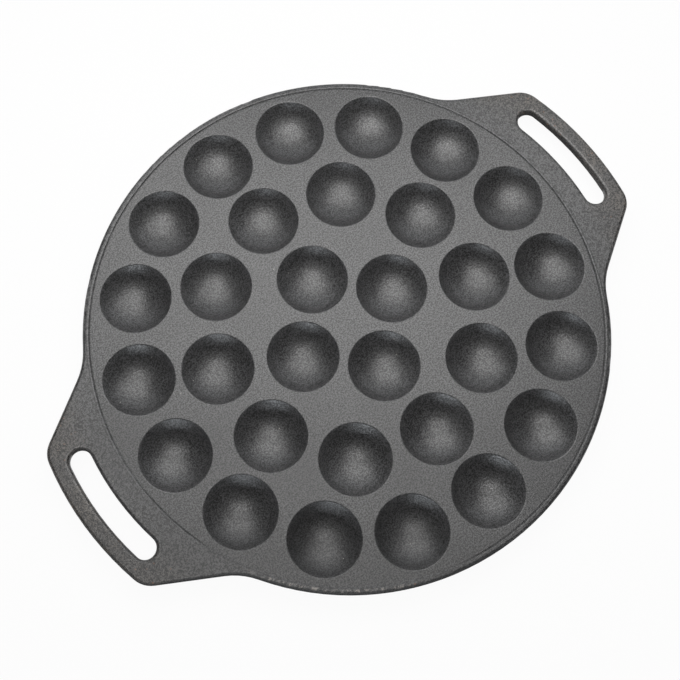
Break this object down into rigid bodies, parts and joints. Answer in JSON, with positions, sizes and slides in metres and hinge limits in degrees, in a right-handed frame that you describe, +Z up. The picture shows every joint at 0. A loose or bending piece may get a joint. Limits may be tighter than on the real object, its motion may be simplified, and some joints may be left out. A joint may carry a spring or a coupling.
{
  "type": "poffertjes pan",
  "caption": "Round cast-iron pan for small pancakes, with shallow domed cups in rings, a low rim and a slotted ear handle on each side.",
  "frame": {"origin": "middle of the footprint, on the plane of the flat feet under the cups", "axes": "+Z up out of the cups, +X along the line through both handles"},
  "size_m": [0.36, 0.296, 0.0153],
  "materials": {
    "cast_iron": "matte"
  },
  "bodies": {
    "root": {"pan": "cast_iron"}
  },
  "joints": []
}
